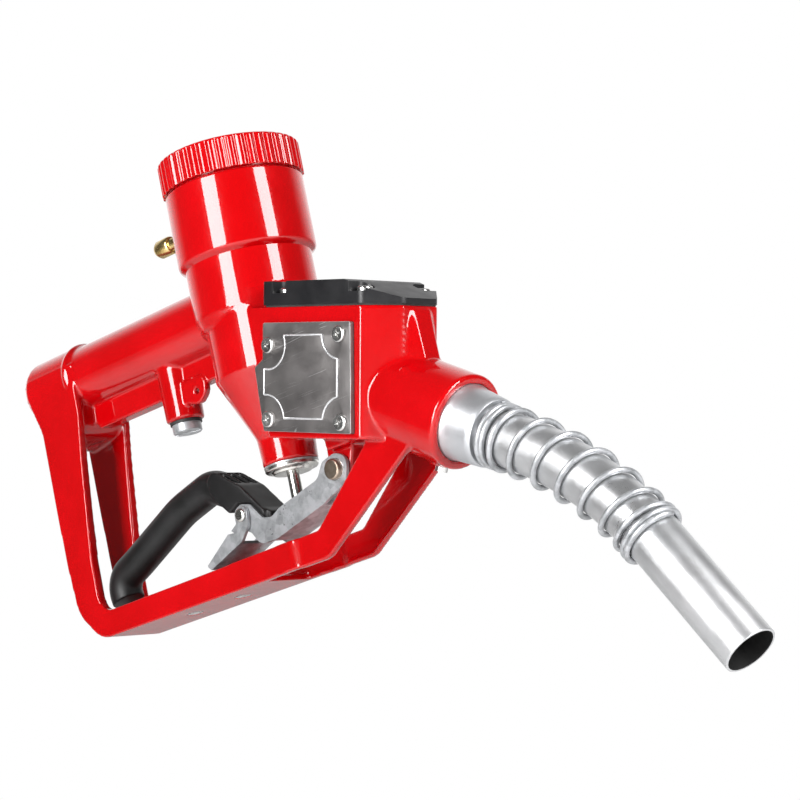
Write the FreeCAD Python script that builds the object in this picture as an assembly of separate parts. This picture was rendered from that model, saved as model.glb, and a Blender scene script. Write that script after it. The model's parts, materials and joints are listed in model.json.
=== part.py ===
"""Automatic fuel nozzle with a metering head, drawn in millimetres.

+X runs forward along the hose handle, +Y to the left, +Z up along the metering axis.
Everything is drawn about the point where the metering axis crosses the handle axis, and
save() moves it so that the origin is the centre of the inlet's mouth.
"""
import FreeCAD, Part
import math
import os
from FreeCAD import Vector as V
from FreeCAD import Placement, Rotation

os.makedirs("parts", exist_ok=True)

# ---------------------------------------------------------------- driving dimensions
INLET_TO_METER = 163.0      # inlet mouth to metering axis
HANDLE_R = 16.6             # hose handle, outside
THREAD_R = 12.06            # G 3/4 internal thread, minor radius
THREAD_LENGTH = 18.0
STRAINER_R = 11.5           # seat of the strainer's flange, past the thread
FLOW_R = 10.5               # flow passage through the handle
METER_R = 34.0              # metering head housing
NECK_R = 31.0               # neck under the metering head
NECK_TOP = 21.0
HOUSING_TOP = 57.5
RING_R = 35.0               # knurled ring
RING_BOTTOM = 59.0
RING_TOP = 75.0
COLUMN_X = 3.5              # valve chamber column, ahead of the metering axis
COLUMN_R = 29.0
STEM_X = 2.0                # valve stem axis
STEM_R = 3.0
BOSS_BOTTOM = -81.5         # lower face of the stem boss
BOX_TILT = 16.5             # shut-off chamber, nose down from the handle axis
BOX_HALF_WIDTH = 25.0
BOX_TOP = -3.8
BOX_BOTTOM = -65.0
BOX_FRONT = 109.5
BOX_CORNER = 14.0
COVER_TOP = 8.2
SPOUT_TILT = 32.0           # spout socket below the handle axis
SPOUT_BEND = 25.5
SPOUT_R = 12.5              # 25 mm spout tube
SPOUT_WALL = 1.3
SOCKET_RIM = V(117.0, 0, -94.1)
SOCKET_R = 22.3
SOCKET_BORE_R = 18.3
PIVOT = V(39.0, 0, -94.2)   # trigger pivot
PIN_R = 3.5
LUG_HALF = 6.2              # half the width of the lug that the trigger straddles
RIVET = V(-27.0, 0, -99.0)  # hold-open latch pivot, on the trigger
RIVET_R = 2.2
GUARD_OUT = 17.0            # guard rails, outer face from the middle plane
GUARD_WALL = 3.6
GUARD_BULGE = 1.5           # how much further out the rails stand beside the latch
GUARD_NARROWS = 0.4         # how much closer together they run in front of it
GUARD_BOTTOM = -134.5
PLATE_T = 2.0
RUNNING = 0.05              # radial clearance of running fits
STEPS_PER_TURN = 14         # points along each turn of a spring

# main valve and metering head
METER_CHAMBER_R = 26.0
GUIDE_Z = 4.0               # floor of the metering chamber
SEAT_Z = -23.0              # underside of the main valve seat
VALVE_CHAMBER_R = 20.0
GLAND_THREAD_R = 9.0
STEM_TIP = -110.9
ROTOR_VANES = 8
FLUTES = 44                 # round the knurled ring
BRASS_Z = 46.0              # fitting on the back of the metering head
BRASS_R = 4.0
BUTTON_X = -18.5
BUTTON_Y = (-8.5, 8.5)
BUTTON_R = 4.0

# drain and the hold-open rack under the guard
DRAIN_X = -64.8
DRAIN_R = 6.0
FLOOR_T = 3.2
RACK_SCREWS = [-48.0, -84.0]

# shut-off chamber, measured along and across its own tilted frame
DIAPHRAGM_S = 63.0
DIAPHRAGM_R = 19.0
DIAPHRAGM_T = 0.8
PLUNGER_R = 3.0
GASKET_T = 0.6
COVER_SEAT = COVER_TOP - 5.6
PLATE_SCREWS = [(38.3, -21.8), (85.0, -17.0), (86.4, -57.4), (39.0, -56.3)]
COVER_SCREWS = [(42.0, -19.5), (92.5, -19.0), (42.0, 19.5), (92.5, 19.0)]

# spout
SET_SCREW_BACK = 9.5        # set screw, behind the socket's rim
SPOUT_STRAIGHT = 37.5       # socket rim to the start of the bend
SPOUT_BEND_R = 195.0
SPOUT_END = 62.5            # straight part after the bend
COLLAR_OUT = 17.0           # how far the collar stands out of the socket
GUIDE_BACK = 18.5           # check valve's guide, behind the socket's rim
SPRING_R = 14.2
SPRING_WIRE_R = 1.35
SPRING_TURNS = [18.6, 20.9, 23.4, 29.5, 44.5, 60.0, 75.5, 91.0, 105.0, 114.0, 117.0, 119.4]

# trigger and grip
CHEEK_OUT = 9.0             # outer face of the trigger's cheeks from the middle plane
CHEEK_T = 2.0
GRIP_R = 8.4
POCKETS = (-5.3, 0.0, 5.3)  # pockets between the ribs in the top of the grip's head
POCKET_HALF = 2.0
GRIP_LINE = [(-131, -117), (-134, -106, 10), (-118, -100, 60), (-79.5, -83.5, 60), (-54, -77.5, 12),
             (-38, -86)]

FORWARD = V(1, 0, 0)
LEFT = V(0, 1, 0)
UP = V(0, 0, 1)
TILT_ANGLE = math.radians(SPOUT_TILT)
TIP_ANGLE = math.radians(SPOUT_TILT + SPOUT_BEND)
SPOUT_DIR = V(math.cos(TILT_ANGLE), 0, -math.sin(TILT_ANGLE))
SPOUT_DOWN = V(-math.sin(TILT_ANGLE), 0, -math.cos(TILT_ANGLE))
TIP_DIR = V(math.cos(TIP_ANGLE), 0, -math.sin(TIP_ANGLE))


# ---------------------------------------------------------------- drawing helpers
def corner_edges(corners):
    """Edges of a closed outline; a corner is (a, b) or (a, b, radius)."""
    flat = [V(c[0], c[1], 0) for c in corners]
    radii = [c[2] if len(c) > 2 else 0.0 for c in corners]
    starts, ends, arcs = [], [], []
    count = len(flat)
    for i in range(count):
        here = flat[i]
        to_last = (flat[i - 1] - here).normalize()
        to_next = (flat[(i + 1) % count] - here).normalize()
        half = to_last.getAngle(to_next) / 2
        if radii[i] == 0.0:
            starts.append(here)
            ends.append(here)
            arcs.append(None)
            continue
        reach = radii[i] / math.tan(half)
        a = here + to_last * reach
        b = here + to_next * reach
        inward = (to_last + to_next).normalize()
        middle = here + inward * (radii[i] / math.sin(half) - radii[i])
        starts.append(a)
        ends.append(b)
        arcs.append(Part.Arc(a, middle, b).toShape())
    edges = []
    for i in range(count):
        if arcs[i] is not None:
            edges.append(arcs[i])
        following = starts[(i + 1) % count]
        if (following - ends[i]).Length > 1e-6:
            edges.append(Part.LineSegment(ends[i], following).toShape())
    return edges


def plan_prism(corners, z0, z1):
    """Outline in X and Y, from height z0 to z1."""
    face = Part.Face(Part.Wire(corner_edges(corners)))
    face.translate(V(0, 0, z0))
    return face.extrude(V(0, 0, z1 - z0))


def side_prism(corners, y0, y1):
    """Outline in X and Z, from y0 to y1."""
    face = Part.Face(Part.Wire(corner_edges(corners)))
    face.rotate(V(0, 0, 0), V(1, 0, 0), 90)
    face.translate(V(0, y0, 0))
    return face.extrude(V(0, y1 - y0, 0))


def cyl(radius, length, base, axis=V(0, 0, 1)):
    return Part.makeCylinder(radius, length, base, axis)


def ring(outer, inner, length, base, axis=V(0, 0, 1)):
    return cyl(outer, length, base, axis).cut(cyl(inner, length, base, axis))


def turned(profile, base, axis=V(0, 0, 1)):
    """Solid of revolution from (radius, height) points along an axis."""
    points = [V(r, 0, h) for r, h in profile]
    wire = Part.makePolygon(points + [points[0]])
    solid = Part.Face(wire).revolve(V(0, 0, 0), V(0, 0, 1), 360)
    solid.Placement = Placement(base, Rotation(V(0, 0, 1), axis))
    return solid


def block(x0, x1, y0, y1, z0, z1):
    return Part.makeBox(x1 - x0, y1 - y0, z1 - z0, V(x0, y0, z0))


def fused(shapes):
    return shapes[0].multiFuse(shapes[1:]).removeSplitter()


def bent_bar(line, radius):
    """Round bar along a line of (x, z, bend radius) corners, in pieces that meet face to face."""
    points = [V(p[0], 0, p[1]) for p in line]
    pieces = []
    start = points[0]
    for i in range(1, len(points)):
        along = (points[i] - points[i - 1]).normalize()
        if i == len(points) - 1:
            pieces.append(cyl(radius, (points[i] - start).Length, start, along))
            break
        onward = (points[i + 1] - points[i]).normalize()
        bend = along.getAngle(onward)
        side = -1 if along.cross(onward).y < 0 else 1
        reach = line[i][2] * math.tan(bend / 2)
        end = points[i] - along * reach
        pieces.append(cyl(radius, (end - start).Length, start, along))
        centre = end + LEFT.cross(along) * (side * line[i][2])
        disc = Part.Face(Part.Wire(Part.makeCircle(radius, end, along)))
        pieces.append(disc.revolve(centre, LEFT * side, math.degrees(bend)))
        start = points[i] + onward * reach
    return pieces


def wire_along(points, radius):
    """Round wire through a list of points."""
    curve = Part.BSplineCurve()
    curve.interpolate(points)
    path = Part.Wire(curve.toShape())
    tangent = curve.tangent(curve.FirstParameter)[0]
    profile = Part.Wire(Part.makeCircle(radius, points[0], tangent))
    return path.makePipeShell([profile], True, True)


def mirrored(shape):
    """The same piece on the other side of the middle plane."""
    return shape.mirror(V(0, 0, 0), V(0, 1, 0))


def tilted(shape):
    """From the shut-off chamber's own level frame to the nozzle's frame."""
    copy = shape.copy()
    copy.rotate(V(0, 0, 0), V(0, 1, 0), BOX_TILT)
    return copy


def save(name, shape):
    moved = shape.copy()
    moved.translate(V(INLET_TO_METER, 0, 0))
    if len(moved.Solids) == 1:
        moved = moved.Solids[0]
    moved.exportStep("parts/" + name + ".step")
    print(name, "solids", len(moved.Solids), "valid", moved.isValid(), "mm3", round(moved.Volume))


def screw(base, axis, head_r, head_h, shank_r, shank_l):
    """Cross-recessed pan-head screw whose head stands on base and points along axis."""
    head = cyl(head_r, head_h, base, axis)
    rim = [e for e in head.Edges if (e.CenterOfMass - base - axis * head_h).Length < 0.01]
    head = head.makeFillet(head_h * 0.45, rim)
    body = head.fuse(cyl(shank_r, shank_l, base - axis * shank_l, axis))
    for turn in (20, 110):
        bar = block(-head_r * 0.55, head_r * 0.55, -head_r * 0.11, head_r * 0.11, 0, head_h)
        bar.rotate(V(0, 0, 0), UP, turn)
        seat = Placement(base + axis * head_h * 0.45, Rotation(UP, axis))
        bar.Placement = seat.multiply(bar.Placement)
        body = body.cut(bar)
    return body


# ---------------------------------------------------------------- body casting
def handle():
    """Round hose handle with its rear collar, ridge, stiffening rib and drain boss."""
    tube = cyl(HANDLE_R, INLET_TO_METER, V(-INLET_TO_METER, 0, 0), FORWARD)
    collar = turned([(0, 0), (15.6, 0), (17.6, 2.4), (17.6, 33), (HANDLE_R, 38), (0, 38)],
                    V(-INLET_TO_METER, 0, 0), FORWARD)
    ridge = Part.makeTorus(HANDLE_R, 1.9, V(-129.0, 0, 0), FORWARD)
    rib = side_prism([(-127, 0), (-127, -24), (-124, -28.3), (-18, -28.3), (-18, 0)], -4.6, 4.6)
    boss = turned([(0, -41.5), (8.8, -41.5), (9.6, -40.6), (10.2, -14), (0, -14)], V(DRAIN_X, 0, 0))
    lug = side_prism([(-57, -24), (-57, -35), (-46, -38, 5.8), (-38.5, -31, 5.8), (-42, -24)], -6.2, -2.2)
    lug = lug.cut(cyl(1.6, 6, V(-47, -7.2, -31), LEFT))
    return [tube, collar, ridge, rib, boss, lug]


def column():
    """Neck under the metering head, valve chamber, cone and stem boss."""
    neck = turned([(0, -12), (COLUMN_R, -12), (NECK_R, -6), (NECK_R, NECK_TOP), (0, NECK_TOP)], V(0, 0, 0))
    chamber = turned([(0, -68), (15.0, -68), (17.4, -62.5), (COLUMN_R, -37), (COLUMN_R, 0), (0, 0)],
                     V(COLUMN_X, 0, 0))
    boss = turned([(0, BOSS_BOTTOM), (13.4, BOSS_BOTTOM), (14.3, -64), (0, -60)], V(STEM_X, 0, 0))
    return [neck, chamber, boss]


def shutoff_box():
    """Tilted chamber with clipped front corners, and the gusset down to the barrel."""
    w = BOX_HALF_WIDTH
    plan = [(5, -w), (BOX_FRONT - BOX_CORNER, -w, 2), (BOX_FRONT, -w + BOX_CORNER, 2),
            (BOX_FRONT, w - BOX_CORNER, 2), (BOX_FRONT - BOX_CORNER, w, 2), (5, w)]
    side = [(5, BOX_TOP), (BOX_FRONT + 1, BOX_TOP), (BOX_FRONT + 1, BOX_BOTTOM),
            (36, BOX_BOTTOM), (27, -31), (5, -31)]
    box = plan_prism(plan, BOX_BOTTOM, BOX_TOP).common(side_prism(side, -w - 1, w + 1))
    back = [V(108, -11, -4.6), V(108, 11, -4.6), V(104, 13, -38), V(104, -13, -38)]
    front = [V(110.4, -5, -5.6), V(110.4, 5, -5.6), V(122, 5, -42), V(122, -5, -42)]
    gusset = Part.makeLoft([Part.makePolygon(p + p[:1]) for p in (back, front)], True, True)
    return [tilted(box), tilted(gusset)]


def pivot_lug():
    """Block under the chamber with the lug that the trigger turns on."""
    foot = side_prism([(37, -72), (37, -84.8, 2), (72, -86), (72, -72)], -11, 11)
    lug = side_prism([(33, -78), (31.8, -94.2, 3), (35, -101.4, 4), (43, -101.4, 4), (46.5, -94, 3),
                      (52, -80)], -LUG_HALF, LUG_HALF)
    return [foot, lug]


def socket():
    """Barrel that takes the spout."""
    length = 62.0
    barrel = cyl(SOCKET_R, length, SOCKET_RIM - SPOUT_DIR * length, SPOUT_DIR)
    rim = [e for e in barrel.Edges if (e.CenterOfMass - SOCKET_RIM).Length < 1.0]
    barrel = barrel.makeFillet(1.6, rim)
    pad = cyl(6.0, 22.6, SOCKET_RIM - SPOUT_DIR * SET_SCREW_BACK, SPOUT_DOWN)
    return [barrel, pad]


def guard():
    """Two side rails from the collar to the socket, with a floor plate behind."""
    outer = [(-160, 6), (-160, -8), (-155, -22, 8), (-154, -90), (-151.5, -119, 20), (-137, GUARD_BOTTOM, 14),
             (31, GUARD_BOTTOM, 10), (88, -102), (112, -88), (100, -62),
             (76, -83), (27, -120.2, 4), (-118, -121.6, 14), (-134.5, -121.6, 9), (-134.5, -94, 30),
             (-128, -43, 30), (-124, -20), (-124, 6)]
    side = side_prism(outer, -30, 30)
    out = GUARD_OUT
    inner = out - GUARD_WALL
    band = [(-170, inner - 2.6), (-135, inner - 1.6), (-120, inner), (-10, inner, 14),
            (8.5, inner + GUARD_BULGE, 6), (14, inner - GUARD_NARROWS, 6), (130, inner - GUARD_NARROWS),
            (130, out - GUARD_NARROWS), (14, out - GUARD_NARROWS, 6), (8.5, out + GUARD_BULGE, 6),
            (-10, out, 14), (-170, out)]
    rail = plan_prism(band, -140, 10).common(side)
    floor = block(-141, -15, -inner - 0.5, inner + 0.5, GUARD_BOTTOM, GUARD_BOTTOM + FLOOR_T).common(side)
    web = side_prism([(-157, 6), (-157, -20), (-152, -34, 4), (-127, -30, 8), (-124, 6)],
                     -inner - 0.5, inner + 0.5)
    bridge = side_prism([(83, -80), (83, -88, 4), (97, -98, 5), (112, -92), (112, -80)], -inner - 3, inner + 3)
    return [rail, mirrored(rail), floor, web, bridge]


def body_cavities():
    """Everything bored out of the casting."""
    inlet = cyl(THREAD_R, THREAD_LENGTH, V(-INLET_TO_METER, 0, 0), FORWARD)
    strainer_seat = cyl(STRAINER_R, 1.5, V(-INLET_TO_METER + THREAD_LENGTH, 0, 0), FORWARD)
    passage = cyl(FLOW_R, INLET_TO_METER - 10, V(-INLET_TO_METER, 0, 0), FORWARD)
    meter = cyl(METER_CHAMBER_R, NECK_TOP - GUIDE_Z + 1, V(0, 0, GUIDE_Z))
    valve = cyl(VALVE_CHAMBER_R, GUIDE_Z - SEAT_Z + 0.01, V(STEM_X, 0, SEAT_Z))
    lower = cyl(15.0, SEAT_Z + 50.0, V(STEM_X, 0, -50.0))
    stem_way = cyl(STEM_R + 1.0, 40, V(STEM_X, 0, -85))
    gland = cyl(GLAND_THREAD_R, 10.0, V(STEM_X, 0, BOSS_BOTTOM - 1))
    out_way = cyl(10.0, 116, SOCKET_RIM - SPOUT_DIR * 116, SPOUT_DIR)
    spout_bore = cyl(SOCKET_BORE_R, 34.0, SOCKET_RIM - SPOUT_DIR * 33.0, SPOUT_DIR)
    drain = cyl(DRAIN_R, 40, V(DRAIN_X, 0, -42))
    pin = cyl(PIN_R, 60, V(PIVOT.x, -30, PIVOT.z), LEFT)
    diaphragm = tilted(cyl(DIAPHRAGM_R, 14.2, V(DIAPHRAGM_S, 0, BOX_TOP - 14.2)))
    plunger = tilted(cyl(PLUNGER_R + RUNNING, 20, V(DIAPHRAGM_S, 0, BOX_TOP - 33)))
    pocket = tilted(block(47, 79, -BOX_HALF_WIDTH - 1, -15, -51, -23))
    set_screw = cyl(3.0, 12, SOCKET_RIM - SPOUT_DIR * SET_SCREW_BACK + SPOUT_DOWN * 14, SPOUT_DOWN)
    cuts = [inlet, strainer_seat, passage, meter, valve, lower, stem_way, gland, out_way, spout_bore, drain,
            pin, diaphragm, plunger, pocket, set_screw]
    cuts += [tilted(cyl(1.5, 8, V(s, -BOX_HALF_WIDTH + 7.9, t), V(0, -1, 0))) for s, t in PLATE_SCREWS]
    cuts += [tilted(cyl(1.8, 11, V(s, y, BOX_TOP - 10.9))) for s, y in COVER_SCREWS]
    cuts += [cyl(2.0, 6, V(x, 0, GUARD_BOTTOM - 1)) for x in RACK_SCREWS]
    cuts += [turned([(0, -0.5), (4.3, -0.5), (4.3, 0.3), (2.0, 2.4), (0, 2.4)], V(x, 0, GUARD_BOTTOM))
             for x in RACK_SCREWS]
    return cuts


def body_casting():
    """The one casting that carries everything: handle, column, chamber, barrel and guard."""
    outside = fused(handle() + column() + shutoff_box() + pivot_lug() + socket() + guard())
    lever_room = side_prism([(24, -86.2), (24, -104), (52, -104), (52, -86.2)], LUG_HALF, 12)
    for cut in body_cavities() + [lever_room, mirrored(lever_room)]:
        outside = outside.cut(cut)
    save("body_casting", outside.removeSplitter())


# ---------------------------------------------------------------- inlet and drain
def inlet_strainer():
    """Mesh cup that sits in the passage just past the inlet thread."""
    x = -INLET_TO_METER + THREAD_LENGTH
    flange = ring(STRAINER_R - 0.05, 8.5, 1.4, V(x + 0.05, 0, 0), FORWARD)
    cup = ring(9.5, 8.5, 30, V(x + 0.05, 0, 0), FORWARD)
    end = cyl(9.5, 1.0, V(x + 29.8, 0, 0), FORWARD)
    slots = []
    for row in range(4):
        for turn in range(8):
            slot = block(x + 3 + row * 6.5, x + 7.5 + row * 6.5, -1.4, 1.4, 7.5, 10.5)
            slot.rotate(V(0, 0, 0), FORWARD, 45 * turn + 22.5 * (row % 2))
            slots.append(slot)
    save("inlet_strainer", fused([flange, cup, end]).cut(Part.makeCompound(slots)))


def drain_plug():
    """Slotted plug and its sealing ring in the boss under the handle."""
    shank = cyl(DRAIN_R - 0.02, 12, V(DRAIN_X, 0, -42.9))
    head = turned([(0, -47.4), (6.7, -47.4), (7.3, -46.8), (7.3, -42.9), (0, -42.9)], V(DRAIN_X, 0, 0))
    slot = block(DRAIN_X - 7, DRAIN_X + 7, -0.8, 0.8, -48, -45.6)
    slot.rotate(V(DRAIN_X, 0, 0), UP, 25)
    save("drain_plug", head.fuse(shank).cut(slot))
    save("drain_plug_seal", ring(8.0, DRAIN_R, 1.3, V(DRAIN_X, 0, -42.85)))


# ---------------------------------------------------------------- main valve
def valve():
    """Seat, poppet on its stem, return spring and the gland that seals the stem."""
    seat = turned([(10, SEAT_Z), (VALVE_CHAMBER_R - 0.02, SEAT_Z), (VALVE_CHAMBER_R - 0.02, SEAT_Z + 4),
                   (12.4, SEAT_Z + 5), (10, SEAT_Z + 4)], V(STEM_X, 0, 0))
    save("valve_seat", seat)
    top = SEAT_Z + 5.1
    poppet = turned([(STEM_R, top), (14, top), (15, top + 1), (15, top + 3), (7, top + 4.5),
                     (STEM_R, top + 4.5)], V(STEM_X, 0, 0))
    seal = ring(13.9, 9.9, 0.9, V(STEM_X, 0, top))
    save("main_poppet", poppet.cut(seal))
    save("poppet_seal", seal)
    stem = turned([(0, STEM_TIP), (1.6, STEM_TIP), (STEM_R, STEM_TIP + 1.4), (STEM_R, top + 5.2),
                   (0, top + 5.2)], V(STEM_X, 0, 0))
    save("valve_stem", stem)
    spring_z = top + 4.6
    spring = coil(V(STEM_X, 0, spring_z + 0.7), 9.6, 0.7, GUIDE_Z - 1.5 - spring_z - 1.4, 4)
    save("valve_spring", spring)
    nut = turned([(STEM_R + RUNNING, -85.9), (9.2, -85.9), (9.8, -84.6), (12.2, -84.6), (13.0, -83.9),
                  (13.0, -82.3), (8.9, -82.3), (8.9, -75.5), (STEM_R + RUNNING, -75.5)], V(STEM_X, 0, 0))
    save("gland_nut", nut)
    save("gland_washer", ring(13.2, 9.0, 0.75, V(STEM_X, 0, -82.27)))
    save("gland_seal", ring(GLAND_THREAD_R - 0.05, STEM_R + RUNNING, 2.8, V(STEM_X, 0, -75.4)))


def coil(base, radius, wire_r, height, turns):
    """Open coil spring standing on base, along +Z."""
    points = []
    for step in range(turns * STEPS_PER_TURN + 1):
        angle = 2 * math.pi * step / STEPS_PER_TURN
        rise = height * step / (turns * STEPS_PER_TURN)
        points.append(base + V(radius * math.cos(angle), radius * math.sin(angle), rise))
    return wire_along(points, wire_r)


# ---------------------------------------------------------------- metering head
def metering_head():
    """Rotor on its shaft, housing, electronics, lens and the knurled ring."""
    hub_r = 5.0
    spokes = [block(0, 25, -2, 2, GUIDE_Z + 0.02, GUIDE_Z + 2)]
    for turn in (90, 180, 270):
        spoke = spokes[0].copy()
        spoke.rotate(V(0, 0, 0), UP, turn)
        spokes.append(spoke)
    rim = ring(METER_CHAMBER_R - 0.1, 22, 2, V(0, 0, GUIDE_Z + 0.02))
    guide = fused([rim, cyl(hub_r, 2, V(0, 0, GUIDE_Z + 0.02))] + spokes)
    spring_cup = ring(12, 7.5, 1.5, V(STEM_X, 0, GUIDE_Z - 1.45))
    guide = guide.fuse(spring_cup).fuse(ring(12, 7.5, 0.2, V(STEM_X, 0, GUIDE_Z - 0.05)))
    save("flow_guide", guide.cut(cyl(1.5, 9, V(0, 0, GUIDE_Z))).removeSplitter())
    save("rotor_shaft", cyl(1.48, 14.8, V(0, 0, GUIDE_Z + 0.1)))
    low = GUIDE_Z + 3.0
    hub = cyl(hub_r, 9.5, V(0, 0, low))
    vanes = []
    for k in range(ROTOR_VANES):
        vane = block(0, 20.5, -0.9, 0.9, 0, 8.5)
        vane.rotate(V(12, 0, 4), FORWARD, 28)
        vane = vane.common(block(-1, 30, -9, 9, 0.3, 8.2))
        vane.translate(V(0, 0, low + 0.5))
        vane.rotate(V(0, 0, 0), UP, 360.0 / ROTOR_VANES * k)
        vanes.append(vane)
    rotor = fused([hub] + vanes).cut(cyl(1.48 + RUNNING, 12, V(0, 0, low - 1)))
    save("turbine_rotor", rotor)
    floor_z = NECK_TOP + 0.3
    outer = turned([(0, floor_z), (NECK_R - 0.6, floor_z), (NECK_R - 0.6, floor_z + 1.2),
                    (METER_R, floor_z + 4.2), (METER_R, HOUSING_TOP), (33.0, HOUSING_TOP + 0.9),
                    (0, HOUSING_TOP + 0.9)], V(0, 0, 0))
    plug = cyl(METER_CHAMBER_R - 0.1, 3.4, V(0, 0, floor_z - 3.3))
    collar = cyl(32.0, 10, V(0, 0, HOUSING_TOP))
    inside = cyl(29.0, 60, V(0, 0, floor_z + 4.5))
    housing = fused([outer, plug, collar]).cut(inside).cut(cyl(1.5, 3, V(0, 0, floor_z - 4)))
    housing = housing.cut(cyl(BRASS_R, 12, V(-40, 0, BRASS_Z), FORWARD))
    save("meter_housing", housing.removeSplitter())
    save("housing_o_ring", Part.makeTorus(28.6, 1.0, V(0, 0, NECK_TOP)).common(
        ring(30.2, 26.2, 0.3, V(0, 0, NECK_TOP))))
    save("display_board", cyl(27.5, 1.6, V(0, 0, 60.5)))
    battery = [cyl(12.0, 5.0, V(0, y, 52.0)) for y in (-13.0, 13.0)]
    save("batteries", Part.makeCompound(battery))
    save("battery_tray", ring(28.5, 27.0, 9.0, V(0, 0, 50.5)).fuse(cyl(28.5, 1.2, V(0, 0, 50.5))))
    save("display_screen", block(-12, 12, -19, 19, 62.2, 66.5))
    face = cyl(28.4, 1.6, V(0, 0, 68.9)).cut(block(-10.5, 10.5, -17.5, 17.5, 68, 71))
    for y in BUTTON_Y:
        face = face.cut(cyl(BUTTON_R + 0.1, 3, V(BUTTON_X, y, 68)))
    save("display_face", face)
    save("display_lens", block(-12.2, 12.2, -19.2, 19.2, 66.7, 68.7))


def knurled_ring():
    """Fluted screw ring round the display."""
    body = turned([(32.3, RING_BOTTOM), (RING_R, RING_BOTTOM), (RING_R, RING_TOP - 2.2),
                   (RING_R - 2.2, RING_TOP), (27.6, RING_TOP), (27.0, RING_TOP - 1.6), (27.0, 70.9),
                   (32.3, 70.9)], V(0, 0, 0))
    grooves = []
    for k in range(FLUTES):
        a = 2 * math.pi * k / FLUTES
        reach = RING_R + 0.55
        grooves.append(cyl(1.35, 11.2, V(reach * math.cos(a), reach * math.sin(a), RING_BOTTOM + 1.6)))
    save("knurled_ring", body.cut(Part.makeCompound(grooves)))


def buttons():
    """Two push buttons beside the display."""
    for name, y in zip(("reset_button", "total_button"), BUTTON_Y):
        cap = cyl(BUTTON_R, 4.1, V(BUTTON_X, y, 68.2))
        top = [e for e in cap.Edges if abs(e.CenterOfMass.z - 72.3) < 0.01 and e.Closed and e.Length > 20]
        cap = cap.makeFillet(0.6, top[:1])
        flange = cyl(BUTTON_R + 1.0, 0.8, V(BUTTON_X, y, 67.6))
        save(name, cap.fuse(flange).removeSplitter())


def brass_fitting():
    """Hexagonal fitting with a nipple on the back of the metering head."""
    corners = [math.radians(60 * k) for k in range(6)]
    nut = plan_prism([(5.9 * math.cos(a), 5.9 * math.sin(a)) for a in corners], 0, 9.0)
    thread = cyl(BRASS_R - 0.02, 7.5, V(0, 0, -7.5))
    neck = cyl(3.2, 17, V(0, 0, 8.0))
    cap = turned([(0, 16), (4.2, 16), (4.6, 17), (4.6, 24.5), (3.4, 26.5), (0, 26.5)], V(0, 0, 0))
    whole = fused([nut, thread, neck, cap])
    whole.Placement = Placement(V(-METER_R - 0.6, 0, BRASS_Z), Rotation(UP, V(-1, 0, 0)))
    save("brass_fitting", whole)


# ---------------------------------------------------------------- shut-off chamber
def side_plate():
    """Steel plate over the side of the chamber, its gasket and its four screws."""
    face = -BOX_HALF_WIDTH
    outline = [(34, -11.3, 1), (91.5, -11.3, 1), (92.6, -62.5, 1), (35.2, -61.8, 1), (28.6, -32.2, 0.5),
               (34, -28.2, 0.5)]
    front = face - GASKET_T - PLATE_T
    gasket = side_prism(outline, face, face - GASKET_T)
    plate = side_prism(outline, face - GASKET_T, front)
    raised = block(35.6, 83.9, front - 0.6, front, -55.8, -17.2)
    for s, t, r in ((38.3, -21.8, 11.2), (85.0, -17.0, 11.3), (86.4, -57.4, 12.0), (37.0, -57.0, 12.2)):
        raised = raised.cut(cyl(r, 9, V(s, face - 5, t), LEFT))
    plate = plate.fuse(raised)
    for s, t in PLATE_SCREWS:
        hole = cyl(1.55, 9, V(s, face - 5, t), LEFT)
        gasket = gasket.cut(hole)
        plate = plate.cut(hole)
    save("plate_gasket", tilted(gasket))
    save("side_plate", tilted(plate.removeSplitter()))
    screws = [screw(V(s, front, t), V(0, -1, 0), 3.9, 1.9, 1.48, 8.5) for s, t in PLATE_SCREWS]
    save("plate_screws", tilted(Part.makeCompound(screws)))


def column_room():
    """Space the cover leaves for the neck and the valve chamber's column."""
    return cyl(NECK_R + 0.4, 60, V(0, 0, -20)).fuse(cyl(COLUMN_R + 0.4, 40.4, V(COLUMN_X, 0, -40)))


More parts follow.
